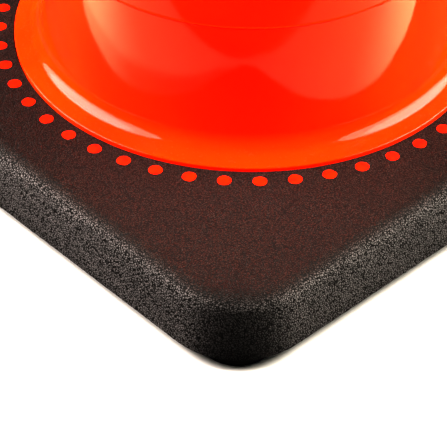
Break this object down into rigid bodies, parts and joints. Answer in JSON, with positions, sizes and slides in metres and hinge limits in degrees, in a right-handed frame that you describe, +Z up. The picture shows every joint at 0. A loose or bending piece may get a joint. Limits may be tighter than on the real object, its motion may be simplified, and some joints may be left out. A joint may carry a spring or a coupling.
{
  "type": "traffic cone",
  "caption": "Hollow flared cone with an open top, locked by a ring of studs into a square hollow base that stands on round feet.",
  "frame": {"origin": "on the ground under the cone's axis, at the middle of the undersides of the base's feet", "axes": "+Z up along the cone's axis, X and Y parallel to the sides of the square base"},
  "size_m": [0.3556, 0.3556, 0.9144],
  "materials": {
    "orange_pvc": "glossy flexible PVC",
    "black_pvc": "fine pebbled grain, satin",
    "stud_pvc": "moulded, satin"
  },
  "bodies": {
    "root": {"cone_body": "orange_pvc", "base": "black_pvc", "locking_stud_01": "stud_pvc", "locking_stud_02": "stud_pvc", "locking_stud_03": "stud_pvc", "locking_stud_04": "stud_pvc", "locking_stud_05": "stud_pvc", "locking_stud_06": "stud_pvc", "locking_stud_07": "stud_pvc", "locking_stud_08": "stud_pvc", "locking_stud_09": "stud_pvc", "locking_stud_10": "stud_pvc", "locking_stud_11": "stud_pvc", "locking_stud_12": "stud_pvc", "locking_stud_13": "stud_pvc", "locking_stud_14": "stud_pvc", "locking_stud_15": "stud_pvc", "locking_stud_16": "stud_pvc", "locking_stud_17": "stud_pvc", "locking_stud_18": "stud_pvc", "locking_stud_19": "stud_pvc", "locking_stud_20": "stud_pvc", "locking_stud_21": "stud_pvc", "locking_stud_22": "stud_pvc", "locking_stud_23": "stud_pvc", "locking_stud_24": "stud_pvc", "locking_stud_25": "stud_pvc", "locking_stud_26": "stud_pvc", "locking_stud_27": "stud_pvc", "locking_stud_28": "stud_pvc", "locking_stud_29": "stud_pvc", "locking_stud_30": "stud_pvc", "locking_stud_31": "stud_pvc", "locking_stud_32": "stud_pvc", "locking_stud_33": "stud_pvc", "locking_stud_34": "stud_pvc", "locking_stud_35": "stud_pvc", "locking_stud_36": "stud_pvc", "locking_stud_37": "stud_pvc", "locking_stud_38": "stud_pvc", "locking_stud_39": "stud_pvc", "locking_stud_40": "stud_pvc", "locking_stud_41": "stud_pvc", "locking_stud_42": "stud_pvc", "locking_stud_43": "stud_pvc", "locking_stud_44": "stud_pvc", "locking_stud_45": "stud_pvc", "locking_stud_46": "stud_pvc", "locking_stud_47": "stud_pvc", "locking_stud_48": "stud_pvc"}
  },
  "joints": []
}
